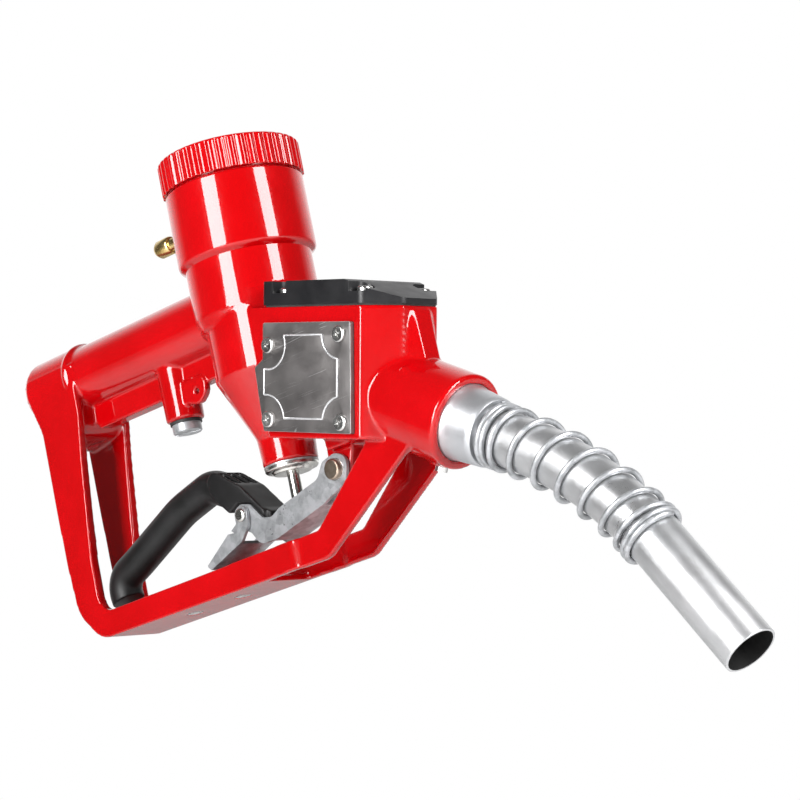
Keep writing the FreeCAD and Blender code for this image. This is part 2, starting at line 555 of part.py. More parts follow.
def top_cover():
    """Plastic cover over the shut-off diaphragm, with its screws."""
    w = BOX_HALF_WIDTH
    plan = [(30.5, -w, 2), (BOX_FRONT - BOX_CORNER, -w, 5), (BOX_FRONT, -w + BOX_CORNER, 5),
            (BOX_FRONT, w - BOX_CORNER, 5), (BOX_FRONT - BOX_CORNER, w, 5), (30.5, w, 2)]
    cover = plan_prism(plan, BOX_TOP + DIAPHRAGM_T, COVER_TOP)
    nose = side_prism([(85, COVER_TOP + 1), (85, COVER_TOP), (BOX_FRONT + 1, COVER_TOP - 9.0),
                       (BOX_FRONT + 1, COVER_TOP + 1)], -w - 1, w + 1)
    cover = cover.cut(nose)
    cover = cover.cut(cyl(DIAPHRAGM_R, 8.0, V(DIAPHRAGM_S, 0, BOX_TOP)))
    for s, y in COVER_SCREWS:
        near, far = sorted((y, math.copysign(w + 1, y)))
        cover = cover.cut(cyl(4.6, 10, V(s, y, COVER_SEAT)))
        cover = cover.cut(block(s - 4.6, s + 4.6, near, far, COVER_SEAT, COVER_TOP + 1))
        cover = cover.cut(cyl(1.9, 20, V(s, y, BOX_TOP - 2)))
    cover = tilted(cover).cut(column_room())
    save("top_cover", cover.removeSplitter())
    rim = plan_prism([(32.5, -w + 1), (BOX_FRONT - BOX_CORNER, -w + 1), (BOX_FRONT - 1, -w + BOX_CORNER),
                      (BOX_FRONT - 1, w - BOX_CORNER), (BOX_FRONT - BOX_CORNER, w - 1), (32.5, w - 1)],
                     BOX_TOP, BOX_TOP + DIAPHRAGM_T)
    for s, y in COVER_SCREWS:
        rim = rim.cut(cyl(1.9, 20, V(s, y, BOX_TOP - 2)))
    rim = rim.cut(cyl(6.0, 9, V(DIAPHRAGM_S, 0, BOX_TOP - 3)))
    save("diaphragm", tilted(rim).cut(column_room()))
    screws = [screw(V(s, y, COVER_SEAT), UP, 3.7, 2.4, 1.78, 13.0) for s, y in COVER_SCREWS]
    save("cover_screws", tilted(Part.makeCompound(screws)))


def shutoff():
    """Plunger hung from the diaphragm, and the spring above it."""
    low = BOX_TOP - 29.0
    pin = cyl(PLUNGER_R, 29.0, V(DIAPHRAGM_S, 0, low))
    plate = cyl(5.6, 1.6, V(DIAPHRAGM_S, 0, BOX_TOP - 0.4))
    save("shutoff_plunger", tilted(pin.fuse(plate).removeSplitter()))
    spring = coil(V(DIAPHRAGM_S, 0, BOX_TOP + 1.9), 4.4, 0.5, 5.0, 3)
    save("diaphragm_spring", tilted(spring))


# ---------------------------------------------------------------- spout
def spout_sweep(outer, inner, start, straight_end):
    """Straight, bent and straight round tube along the spout's line, start mm before the bend."""
    arc_start = SOCKET_RIM + SPOUT_DIR * SPOUT_STRAIGHT
    centre = arc_start + SPOUT_DOWN * SPOUT_BEND_R
    first_base = arc_start - SPOUT_DIR * start
    pieces = [cyl(outer, start, first_base, SPOUT_DIR)]
    holes = [cyl(inner, start + 1, first_base - SPOUT_DIR, SPOUT_DIR)]
    for radius, group in ((outer, pieces), (inner, holes)):
        disc = Part.Face(Part.Wire(Part.makeCircle(radius, arc_start, SPOUT_DIR)))
        group.append(disc.revolve(centre, LEFT, SPOUT_BEND))
    arc_end = centre - V(-math.sin(TIP_ANGLE), 0, -math.cos(TIP_ANGLE)) * SPOUT_BEND_R
    pieces.append(cyl(outer, straight_end, arc_end, TIP_DIR))
    holes.append(cyl(inner, straight_end + 1, arc_end, TIP_DIR))
    tube = fused(pieces)
    for hole in holes:
        tube = tube.cut(hole)
    return tube.removeSplitter(), arc_end


def spout_point(distance):
    """Point and tangent on the spout's centre line, distance mm ahead of the socket's rim."""
    arc_length = math.radians(SPOUT_BEND) * SPOUT_BEND_R
    if distance <= SPOUT_STRAIGHT:
        return SOCKET_RIM + SPOUT_DIR * distance, math.radians(SPOUT_TILT)
    centre = SOCKET_RIM + SPOUT_DIR * SPOUT_STRAIGHT + SPOUT_DOWN * SPOUT_BEND_R
    turned_by = min((distance - SPOUT_STRAIGHT) / SPOUT_BEND_R, math.radians(SPOUT_BEND))
    angle = math.radians(SPOUT_TILT) + turned_by
    point = centre - V(-math.sin(angle), 0, -math.cos(angle)) * SPOUT_BEND_R
    beyond = max(0.0, distance - SPOUT_STRAIGHT - arc_length)
    return point + TIP_DIR * beyond, angle


def spout():
    """Collar, tube, wire spring, sensing tube, seal, check valve and set screw."""
    tube, arc_end = spout_sweep(SPOUT_R, SPOUT_R - SPOUT_WALL, SPOUT_STRAIGHT + 22.0, SPOUT_END)
    save("spout_tube", tube)
    back = 24.0
    profile = [(SPOUT_R + 0.02, -back), (18.2, -back), (18.2, -0.5), (17.6, 1.0), (16.2, COLLAR_OUT - 1.0),
               (15.6, COLLAR_OUT), (SPOUT_R + 0.02, COLLAR_OUT)]
    collar = turned(profile, SOCKET_RIM, SPOUT_DIR)
    groove = ring(18.3, 16.9, 2.6, SOCKET_RIM - SPOUT_DIR * 18.0, SPOUT_DIR)
    screw_flat = cyl(3.2, 6, SOCKET_RIM - SPOUT_DIR * SET_SCREW_BACK + SPOUT_DOWN * 16.0, SPOUT_DOWN)
    save("spout_collar", collar.cut(groove).cut(screw_flat))
    save("spout_o_ring", ring(SOCKET_BORE_R - 0.02, 16.95, 2.3, SOCKET_RIM - SPOUT_DIR * 17.8, SPOUT_DIR))
    screw_base = SOCKET_RIM - SPOUT_DIR * SET_SCREW_BACK + SPOUT_DOWN * 16.1
    body = cyl(2.95, 9.3, screw_base, SPOUT_DOWN)
    drive = cyl(1.5, 3, screw_base + SPOUT_DOWN * 7.0, SPOUT_DOWN)
    save("spout_set_screw", body.cut(drive))
    seat = turned([(8.5, -33), (SOCKET_BORE_R - 0.1, -33), (SOCKET_BORE_R - 0.1, -25), (14.5, -25),
                   (12.5, -29), (8.5, -30.5)], SOCKET_RIM, SPOUT_DIR)
    save("outlet_seat", seat)
    cone = turned([(0, -31.2), (8.0, -31.2), (8.2, -29.8), (5.5, -25.5), (2.0, -23.5), (2.0, -14), (0, -14)],
                  SOCKET_RIM, SPOUT_DIR)
    save("outlet_poppet", cone)
    guide = SOCKET_RIM - SPOUT_DIR * GUIDE_BACK
    carrier = ring(SPOUT_R - SPOUT_WALL - 0.02, 9.8, 4.0, guide, SPOUT_DIR)
    arm = block(-10.2, 10.2, -1.2, 1.2, 0, 4.0)
    arm.Placement = Placement(guide, Rotation(UP, SPOUT_DIR))
    hub = cyl(3.6, 4.0, guide, SPOUT_DIR)
    way = cyl(2.0 + RUNNING, 6.0, guide - SPOUT_DIR, SPOUT_DIR)
    save("poppet_guide", fused([carrier, arm, hub]).cut(way).removeSplitter())
    sensing_tube(arc_end)
    spout_spring()


def sensing_tube(arc_end):
    """Thin air tube along the inside of the spout, ending at a port near the tip."""
    inset = 8.4
    radius = 1.6
    arc_start = SOCKET_RIM + SPOUT_DIR * SPOUT_STRAIGHT - SPOUT_DOWN * inset
    centre = SOCKET_RIM + SPOUT_DIR * SPOUT_STRAIGHT + SPOUT_DOWN * SPOUT_BEND_R
    length = SPOUT_STRAIGHT + 8.0
    first = cyl(radius, length, arc_start - SPOUT_DIR * length, SPOUT_DIR)
    disc = Part.Face(Part.Wire(Part.makeCircle(radius, arc_start, SPOUT_DIR)))
    bend = disc.revolve(centre, LEFT, SPOUT_BEND)
    out = V(math.sin(TIP_ANGLE), 0, math.cos(TIP_ANGLE))
    last = cyl(radius, SPOUT_END - 16.0, arc_end + out * inset, TIP_DIR)
    save("sensing_tube", fused([first, bend, last]))


def spout_spring():
    """Wire spring round the spout; its turns are close at both ends."""
    points = []
    for turn in range(len(SPRING_TURNS) - 1):
        for step in range(STEPS_PER_TURN):
            part = step / STEPS_PER_TURN
            distance = SPRING_TURNS[turn] + (SPRING_TURNS[turn + 1] - SPRING_TURNS[turn]) * part
            points.append(on_spring(distance, 2 * math.pi * part))
    points.append(on_spring(SPRING_TURNS[-1], 0.0))
    save("spout_spring", wire_along(points, SPRING_WIRE_R))


def on_spring(distance, turn):
    point, angle = spout_point(distance)
    across = V(math.sin(angle), 0, math.cos(angle))
    return point + across * (SPRING_R * math.cos(turn)) + LEFT * (SPRING_R * math.sin(turn))


# ---------------------------------------------------------------- trigger and latch
def trigger_lever():
    """Pressed steel channel: two cheeks and the web that lifts the valve stem."""
    outline = [(47.5, -90, 5), (40, -86.5, 6), (31, -88.5, 5), (26, -95.5, 6), (-2.7, -101.7, 3),
               (-9.2, -104.6, 4), (-15, -103.4, 3), (-22, -95, 3), (-30, -92.8, 4), (-33.5, -99, 4),
               (-31, -104.5, 3), (-24.5, -108.4, 2), (-19.5, -115.4, 6), (-8.5, -115.6, 5),
               (26, -107.9, 8), (44, -101.6, 6)]
    cheek = side_prism(outline, -CHEEK_OUT, -CHEEK_OUT + CHEEK_T)
    web = side_prism([(-12, -116.0), (-4, -114.6), (26, -107.8), (26, -105.9), (-4, -112.7),
                      (-12, -113.6)], -CHEEK_OUT, CHEEK_OUT)
    web = web.common(side_prism(outline, -CHEEK_OUT, CHEEK_OUT))
    lever = fused([cheek, mirrored(cheek), web])
    lever = lever.cut(cyl(PIN_R + RUNNING, 40, V(PIVOT.x, -20, PIVOT.z), LEFT))
    lever = lever.cut(cyl(RIVET_R, 40, V(RIVET.x, -20, RIVET.z), LEFT))
    save("trigger_lever", lever.removeSplitter())
    return lever, outline


def lever_grip(lever, outline):
    """Moulded hand grip over the rear of the trigger."""
    bar = fused(bent_bar(GRIP_LINE, GRIP_R))
    head = side_prism([(-50, -73.0, 4), (-42, -73.5, 8), (-27.5, -84, 4), (-13, -100.5, 2), (-15, -103.0, 1),
                       (-22, -94.5, 3), (-30, -92.3), (-38, -95.5), (-47, -86)], -8.8, 8.8)
    tongue = side_prism([(-27, -90), (-11, -101), (-12, -110, 3), (-24, -106), (-38, -94)],
                        -CHEEK_OUT + CHEEK_T, CHEEK_OUT - CHEEK_T)
    keep_out = side_prism(outline, -CHEEK_OUT - 3, -CHEEK_OUT + CHEEK_T)
    grip = fused([bar, head, tongue])
    for y in POCKETS:
        grip = grip.cut(block(-43.0, -30.5, y - POCKET_HALF, y + POCKET_HALF, -87, -70))
    grip = grip.cut(keep_out).cut(mirrored(keep_out))
    grip = grip.cut(lever)
    grip = grip.cut(cyl(RIVET_R, 40, V(RIVET.x, -20, RIVET.z), LEFT))
    grip = max(grip.Solids, key=lambda s: s.Volume)
    save("lever_grip", grip)


def pins():
    """Trigger pivot with its clip, and the latch's rivet."""
    head = turned([(0, -12.2), (4.2, -12.2), (4.9, -11.6), (4.9, -9.6), (0, -9.6)],
                  V(PIVOT.x, 0, PIVOT.z), LEFT)
    shank = cyl(PIN_R, 22.6, V(PIVOT.x, -9.7, PIVOT.z), LEFT)
    pin = head.fuse(shank).cut(ring(PIN_R + 1, PIN_R - 0.5, 0.8, V(PIVOT.x, 10.3, PIVOT.z), LEFT))
    save("pivot_pin", pin.removeSplitter())
    clip = ring(5.2, PIN_R - 0.45, 0.7, V(PIVOT.x, 10.35, PIVOT.z), LEFT)
    save("pivot_clip", clip.cut(block(PIVOT.x - 2.6, PIVOT.x + 2.6, 9, 12, PIVOT.z, PIVOT.z + 8)))
    washer = [ring(5.4, PIN_R + RUNNING, 0.5, V(PIVOT.x, y, PIVOT.z), LEFT) for y in (-9.55, 9.6)]
    save("pivot_washers", Part.makeCompound(washer))
    rivet = cyl(RIVET_R - 0.02, 24.0, V(RIVET.x, -12.0, RIVET.z), LEFT)
    head = turned([(0, -12.8), (2.4, -12.8), (3.3, -12.2), (3.3, -11.4), (0, -11.4)],
                  V(RIVET.x, 0, RIVET.z), LEFT)
    save("latch_rivet", fused([rivet, head, mirrored(head)]))


def hold_open_latch():
    """Two-sided clip on the trigger that catches the rack when the trigger is held up."""
    outline = [(-22.5, -95.0, 4), (-31.5, -94.5, 4), (-31.6, -102.2, 1), (-35.8, -104.6), (-34.2, -106.0),
               (-38.6, -105.6, 0.5), (-57.0, -116.9, 0.8), (-54.6, -119.3, 0.8), (-29.8, -111.2, 2),
               (-23.6, -104.6, 3)]
    plate = side_prism(outline, -11.2, -9.4)
    web = side_prism([(-54.6, -119.3), (-32.0, -111.95), (-32.5, -110.4), (-55.1, -117.7)], -11.2, 11.2)
    latch = fused([plate, mirrored(plate), web])
    latch = latch.cut(cyl(RIVET_R + RUNNING - 0.02, 40, V(RIVET.x, -20, RIVET.z), LEFT))
    save("hold_open_latch", latch.removeSplitter())


def hold_open_rack():
    """Stepped strip screwed to the guard's floor, and its two countersunk screws."""
    floor = GUARD_BOTTOM + FLOOR_T
    steps = [(-95, floor), (-95, floor + 2.6)]
    for k in range(4):
        x = -90 + 9.0 * k
        steps += [(x, floor + 2.6), (x + 4.0, floor + 5.0), (x + 4.6, floor + 2.6)]
    steps += [(-40, floor + 2.6), (-40, floor)]
    rack = side_prism(steps, -6, 6)
    for x in RACK_SCREWS:
        rack = rack.cut(cyl(1.9, 6, V(x, 0, floor - 0.5)))
    save("hold_open_rack", rack)
    screws = []
    for x in RACK_SCREWS:
        body = turned([(0, 0.1), (3.9, 0.1), (1.88, 2.3), (1.88, 5.6), (0, 5.6)], V(x, 0, GUARD_BOTTOM))
        slot = block(x - 2.4, x + 2.4, -0.45, 0.45, GUARD_BOTTOM - 0.5, GUARD_BOTTOM + 0.9)
        screws.append(body.cut(slot))
    save("rack_screws", Part.makeCompound(screws))


# ---------------------------------------------------------------- build
body_casting()
inlet_strainer()
drain_plug()
valve()
metering_head()
knurled_ring()
buttons()
brass_fitting()
side_plate()
top_cover()
shutoff()
spout()
channel, channel_outline = trigger_lever()
lever_grip(channel, channel_outline)
pins()
hold_open_latch()
hold_open_rack()
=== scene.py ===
import json
import math

import bmesh
import bpy
from mathutils import Matrix, Vector


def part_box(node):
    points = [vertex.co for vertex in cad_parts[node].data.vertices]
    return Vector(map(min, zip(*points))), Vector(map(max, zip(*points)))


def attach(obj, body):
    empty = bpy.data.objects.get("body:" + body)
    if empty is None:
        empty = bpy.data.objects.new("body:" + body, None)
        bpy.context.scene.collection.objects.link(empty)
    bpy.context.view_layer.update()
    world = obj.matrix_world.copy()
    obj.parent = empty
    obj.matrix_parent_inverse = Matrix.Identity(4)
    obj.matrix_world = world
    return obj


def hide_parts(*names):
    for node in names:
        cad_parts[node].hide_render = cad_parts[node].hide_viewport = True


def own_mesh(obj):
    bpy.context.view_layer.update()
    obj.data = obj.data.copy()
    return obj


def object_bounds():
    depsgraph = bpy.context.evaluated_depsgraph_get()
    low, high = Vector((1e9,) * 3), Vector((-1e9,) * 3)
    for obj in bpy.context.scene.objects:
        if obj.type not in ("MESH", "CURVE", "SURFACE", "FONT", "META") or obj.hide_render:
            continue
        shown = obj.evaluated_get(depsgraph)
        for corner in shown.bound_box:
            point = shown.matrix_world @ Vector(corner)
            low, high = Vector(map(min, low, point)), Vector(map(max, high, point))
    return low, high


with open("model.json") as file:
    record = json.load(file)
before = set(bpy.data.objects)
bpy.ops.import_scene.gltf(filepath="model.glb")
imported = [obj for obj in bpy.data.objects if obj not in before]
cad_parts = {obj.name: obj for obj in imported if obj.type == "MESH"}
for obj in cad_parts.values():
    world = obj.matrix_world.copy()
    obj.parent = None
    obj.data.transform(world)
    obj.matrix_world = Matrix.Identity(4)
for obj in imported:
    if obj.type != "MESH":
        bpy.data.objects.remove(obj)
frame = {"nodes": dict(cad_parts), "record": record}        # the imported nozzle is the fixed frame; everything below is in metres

cad_box = [list(corner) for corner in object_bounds()]
record = frame["record"]
nodes = frame["nodes"]
mounts = {m["name"]: m for m in record["mounts"]}
joints = {j["name"]: j for j in record["behaviour"]["joints"]}
body_of = {n: b for b, members in record["behaviour"]["bodies"].items() for n in members}
slot_of = {s["node"]: s["material_slot"] for s in record["subparts"]}
scene = bpy.context.scene

MM = 0.001
UP = Vector((0, 0, 1))

# ---------------------------------------------------------------- camera, world and light settings
CAMERA_PLACE = (1.1174, -0.9439, -0.3325)
CAMERA_RIGHT = (0.691, 0.695, -0.197)
CAMERA_BACK = (0.666, -0.719, -0.198)
CAMERA_LENS = 128.7                 # millimetres, with a sensor 36 mm wide
CAMERA_SENSOR = 36.0

BACKDROP = (-0.666, 0.719, 0.198)   # direction of the bright backdrop
BACKDROP_LIGHT = 1.1
BACKDROP_EDGE = (0.35, 0.85)        # it fades to the room between these cosines off its direction
ROOM_LIGHT = 0.08

SOFTBOXES = [
    # name, azimuth, elevation, distance, width, height, power
    ("left_box", -87, 12, 1.5, 0.60, 1.2, 44),
    ("right_box", 3, 14, 1.5, 0.50, 1.2, 34),
    ("low_box", -50, -50, 1.6, 0.9, 0.9, 3),
]

FLOOR_HALF = 6.0
FLOOR_BELOW = 0.20                  # under the nozzle's lowest point
FLOOR_MIDDLE = 0.2                  # along X

# ---------------------------------------------------------------- shape settings
CASTING_VOXEL = 0.0008
CASTING_ROUNDS = 4                  # smoothing passes
GRIP_VOXEL = 0.0007
GRIP_ROUNDS = 5

# metering head, in millimetres, with radii about its axis and heights above the handle's axis
FLUTES = 44
FLUTE_DEPTH = 0.95
FLUTE_STEPS = 14                    # mesh steps across one flute
FLUTE_FADE = 1.2                    # the flutes fade out over this height below the ring's top
FLUTED_FROM = 33.0                  # only what lies further out than this radius is fluted
RING_RADIUS = 34.98
RING_BORE = 32.4
RING_WINDOW = 27.05
RING_FLARE = 0.35                   # the window is this much wider at its top
RING_LIP = 4.0                      # thickness of the ring's top
HOUSING_RADIUS = 33.98
HOUSING_NECK = 31.98                # the turned neck that the ring screws on
HOUSING_FOOT = 30.2
HOUSING_BORE = 29.0
HOUSING_SHOULDER = 57.8
HOUSING_FLOOR = 4.6                 # thickness of the closed bottom
HOUSING_STEPS = 160

FLAT = 0.6                          # degrees; CAD faces that turn by less are joined
SHARP = 32                          # degrees; CAD edges that turn by more are rounded over
RIDGE_RADIUS = 0.00055
RIDGE_SIDES = 8
RIDGE_SUNK = 0.55                   # radii that the ridge's centre lies inside the plate
BORE_RADIUS = 0.0115                # faces of the spout nearer its axis than this are its bore
BORE_SHADE_REACH = 0.06                    # painted shade: the bore is coloured near-black this far up from the tip

SOFTENED = [
    # CAD node, piece, rounding, segments
    ("trigger_lever", "lever", 0.0004, 3),
    ("hold_open_latch", "latch", 0.00035, 3),
    ("brass_fitting", "air_fitting", 0.0003, 2),
    ("gland_nut", "gland", 0.0003, 3),
    ("drain_plug", "drain", 0.0004, 3),
    ("display_face", "dial_face", 0.0003, 2),
    ("hold_open_rack", "rack", 0.0003, 2),
    ("pivot_pin", "pin", 0.0004, 3),
    ("spout_collar", "collar", 0.0004, 3),
    ("spout_tube", "tube", 0.0005, 3),
    ("latch_rivet", "rivet", 0.0004, 3),
    ("pivot_washers", "washers", 0.00015, 2),
    ("plate_screws", "plate_screw_heads", 0.0001, 2),
    ("cover_screws", "cover_screw_heads", 0.0001, 2),
    ("rack_screws", "rack_screw_heads", 0.0001, 2),
    ("valve_stem", "stem", 0.0003, 2),
]

SPRINGS = [
    # CAD node, joint that shortens it
    ("valve_spring", "valve_lift"),
    ("diaphragm_spring", "plunger_lift"),
]


# ---------------------------------------------------------------- camera, world, lights
def make_camera():
    data = bpy.data.cameras.new("camera")
    data.sensor_width = CAMERA_SENSOR
    data.lens = CAMERA_LENS
    data.clip_start = 0.05
    data.clip_end = 30.0
    camera = bpy.data.objects.new("camera", data)
    scene.collection.objects.link(camera)
    right = Vector(CAMERA_RIGHT).normalized()
    back = Vector(CAMERA_BACK).normalized()
    up = back.cross(right).normalized()
    turn = Matrix((right, up, back)).transposed().to_4x4()
    camera.matrix_world = Matrix.Translation(CAMERA_PLACE) @ turn
    scene.camera = camera


def node_tree(owner):
    owner.use_nodes = True
    tree = owner.node_tree
    tree.nodes.clear()
    return tree


def make_world():
    """White to the eye. As a light it is a dim room with a bright backdrop behind the nozzle."""
    world = bpy.data.worlds.new("studio")
    scene.world = world
    tree = node_tree(world)
    out = tree.nodes.new("ShaderNodeOutputWorld")
    seen = tree.nodes.new("ShaderNodeBackground")
    light = tree.nodes.new("ShaderNodeBackground")
    mix = tree.nodes.new("ShaderNodeMixShader")
    path = tree.nodes.new("ShaderNodeLightPath")
    place = tree.nodes.new("ShaderNodeTexCoord")
    facing = tree.nodes.new("ShaderNodeVectorMath")
    fall = tree.nodes.new("ShaderNodeMapRange")
    facing.operation = "DOT_PRODUCT"
    facing.inputs[1].default_value = BACKDROP
    fall.interpolation_type = "SMOOTHSTEP"
    fall.inputs["From Min"].default_value = BACKDROP_EDGE[0]
    fall.inputs["From Max"].default_value = BACKDROP_EDGE[1]
    fall.inputs["To Min"].default_value = ROOM_LIGHT
    fall.inputs["To Max"].default_value = BACKDROP_LIGHT
    tree.links.new(place.outputs["Generated"], facing.inputs[0])
    tree.links.new(facing.outputs["Value"], fall.inputs["Value"])
    tree.links.new(fall.outputs["Result"], light.inputs["Strength"])
    tree.links.new(path.outputs["Is Camera Ray"], mix.inputs["Fac"])
    tree.links.new(light.outputs[0], mix.inputs[1])
    tree.links.new(seen.outputs[0], mix.inputs[2])
    tree.links.new(mix.outputs[0], out.inputs["Surface"])
    seen.inputs["Color"].default_value = (1, 1, 1, 1)
    light.inputs["Color"].default_value = (1, 1, 1, 1)


def softbox(name, azimuth, elevation, distance, width, height, power):
    """Area light aimed at the middle of the nozzle; azimuth is counted from +X towards +Y."""
    target = (Vector(cad_box[0]) + Vector(cad_box[1])) / 2
    a = math.radians(azimuth)
    e = math.radians(elevation)
    away = Vector((math.cos(a) * math.cos(e), math.sin(a) * math.cos(e), math.sin(e)))
    data = bpy.data.lights.new(name, "AREA")
    data.shape = "RECTANGLE"
    data.size = width
    data.size_y = height
    data.energy = power
    lamp = bpy.data.objects.new(name, data)
    scene.collection.objects.link(lamp)
    lamp.rotation_mode = "QUATERNION"
    lamp.location = target + away * distance
    lamp.rotation_quaternion = away.to_track_quat("Z", "Y")


scene.view_settings.view_transform = "Standard"
make_camera()
make_world()
for settings in SOFTBOXES:
    softbox(*settings)


# ---------------------------------------------------------------- material building blocks
class Nodes:
    """Short calls for the shader nodes that the materials below share."""

    def __init__(self, name):
        self.material = bpy.data.materials.new(name)
        self.tree = node_tree(self.material)
        self.out = self.add("ShaderNodeOutputMaterial")
        self.shader = self.add("ShaderNodeBsdfPrincipled")
        self.tree.links.new(self.shader.outputs[0], self.out.inputs["Surface"])
        self.place = self.add("ShaderNodeTexCoord").outputs["Object"]

    def add(self, kind, **settings):
        node = self.tree.nodes.new(kind)
        for key, value in settings.items():
            setattr(node, key, value)
        return node

    def join(self, source, socket):
        self.tree.links.new(source, socket)

    def stretched(self, scale, turn=(0, 0, 0)):
        node = self.add("ShaderNodeMapping")
        node.inputs["Scale"].default_value = scale
        node.inputs["Rotation"].default_value = turn
        self.join(self.place, node.inputs["Vector"])
        return node.outputs["Vector"]

    def noise(self, scale, detail=3.0, roughness=0.55, vector=None):
        node = self.add("ShaderNodeTexNoise")
        node.inputs["Scale"].default_value = scale
        node.inputs["Detail"].default_value = detail
        node.inputs["Roughness"].default_value = roughness
        self.join(vector or self.place, node.inputs["Vector"])
        return node.outputs["Fac"]

    def cells(self, scale, output="Distance"):
        node = self.add("ShaderNodeTexVoronoi")
        node.inputs["Scale"].default_value = scale
        self.join(self.place, node.inputs["Vector"])
        return node.outputs[output]

    def ranged(self, value, low, high, to_low, to_high):
        """Stretches low to high over to_low to to_high, and clamps what lies outside."""
        node = self.add("ShaderNodeMapRange")
        node.inputs["From Min"].default_value = low
        node.inputs["From Max"].default_value = high
        node.inputs["To Min"].default_value = to_low
        node.inputs["To Max"].default_value = to_high
        self.join(value, node.inputs["Value"])
        return node.outputs["Result"]

    def mixed(self, factor, first, second):
        """Colour mix; first and second are colours or sockets."""
        node = self.add("ShaderNodeMix", data_type="RGBA")
        self.join(factor, node.inputs["Factor"])
        for socket, value in ((node.inputs[6], first), (node.inputs[7], second)):
            if isinstance(value, (tuple, list)):
                socket.default_value = (*value, 1.0)
            else:
                self.join(value, socket)
        return node.outputs[2]

    def combined(self, operation, first, second):
        """Maths; first and second are numbers or sockets."""
        node = self.add("ShaderNodeMath", operation=operation)
        for socket, value in zip(node.inputs, (first, second)):
            if isinstance(value, (int, float)):
                socket.default_value = value
            else:
                self.join(value, socket)
        return node.outputs[0]

    def scattered(self, scale, spot, patches, low, high, strength):
        """Small round spots, only where the noise called patches is above low to high."""
        spots = self.ranged(self.cells(scale), 0.0, spot, 1.0, 0.0)
        places = self.ranged(patches, low, high, 0.0, strength)
        return self.combined("MULTIPLY", spots, places)

    def bumps(self, layers):
        """Bump layers (height, strength, depth in metres) on top of one another."""
        normal = None
        for height, strength, depth in layers:
            node = self.add("ShaderNodeBump")
            node.inputs["Strength"].default_value = strength
            node.inputs["Distance"].default_value = depth
            self.join(height, node.inputs["Height"])
            if normal:
                self.join(normal, node.inputs["Normal"])
            normal = node.outputs["Normal"]
        return normal

    def finish(self, colour, roughness, normal=None, metallic=0.0, coat=0.0, coat_roughness=0.03):
        self.join(colour, self.shader.inputs["Base Color"])
        self.join(roughness, self.shader.inputs["Roughness"])
        if normal:
            self.join(normal, self.shader.inputs["Normal"])
        self.shader.inputs["Metallic"].default_value = metallic
        self.shader.inputs["Coat Weight"].default_value = coat
        self.shader.inputs["Coat Roughness"].default_value = coat_roughness
        return self.material


def enamel():
    """Glossy stove enamel over a sand-smooth casting, with orange peel and a few specks."""
    n = Nodes("red_enamel")
    cloud = n.ranged(n.noise(28, 3), 0.35, 0.65, 0, 1)
    colour = n.mixed(cloud, (0.31, 0.0003, 0.001), (0.36, 0.0006, 0.002))
    specks = n.scattered(260, 0.045, n.noise(45, 1), 0.62, 0.66, 1.0)
    colour = n.mixed(specks, colour, (0.12, 0.0, 0.001))
    roughness = n.ranged(n.noise(90, 4), 0.3, 0.7, 0.16, 0.26)
    normal = n.bumps([
        (n.noise(30, 2), 0.40, 0.0014),
        (n.noise(150, 2), 0.40, 0.00045),
        (n.noise(520, 2), 0.55, 0.00016),
        (n.noise(1500, 2), 0.05, 0.00006),
    ])
    n.shader.inputs["Specular IOR Level"].default_value = 0.05
    return n.finish(colour, roughness, normal, coat=1.0, coat_roughness=0.04)


def metal(name, dark, light, rough, grain=60, brushed=(1, 1, 1), bump=0.06, spangle=0.0, pits=0.0,
          bare=1.0):
    """Bare or plated metal: mottling, fine brushing, small pits and smudged roughness."""
    n = Nodes(name)
    mottle = n.noise(grain, 5, 0.6)
    if spangle:
        flakes = n.combined("SUBTRACT", n.cells(240, "Color"), 0.5)
        mottle = n.combined("ADD", mottle, n.combined("MULTIPLY", flakes, spangle))
    colour = n.mixed(n.ranged(mottle, 0.3, 0.7, 0, 1), dark, light)
    if pits:
        pit = n.scattered(420, 0.10, n.noise(70, 2), 0.5, 0.62, pits)
        colour = n.mixed(pit, colour, tuple(c * 0.35 for c in dark))
    fine = n.noise(520, 3, 0.6, n.stretched(brushed))
    smudge = n.combined("ADD", n.noise(35, 4), n.combined("MULTIPLY", fine, 0.5))
    roughness = n.ranged(smudge, 0.45, 1.05, rough * 0.72, rough * 1.35)
    normal = n.bumps([
        (fine, bump, 0.00012),
        (n.noise(130, 3), bump, 0.0003),
    ])
    return n.finish(colour, roughness, normal, metallic=bare)


def hairlines(n):
    """Broken scratches in three directions, each along the middle value of a stretched noise."""
    lines = None
    for turn, scale in ((0.12, 5.0), (-0.72, 4.0), (0.95, 3.4)):
        line = n.noise(60, 1, 0.3, n.stretched((scale * 0.03, 1, scale), (0, turn, 0)))
        line = n.combined("ABSOLUTE", n.combined("SUBTRACT", line, 0.5), 0)
        line = n.ranged(line, 0.0, 0.0025, 1.0, 0.0)
        broken = n.ranged(n.noise(24 + 7 * scale, 2), 0.52, 0.6, 0.0, 1.0)
        line = n.combined("MULTIPLY", line, broken)
        lines = line if lines is None else n.combined("MAXIMUM", lines, line)
    return lines


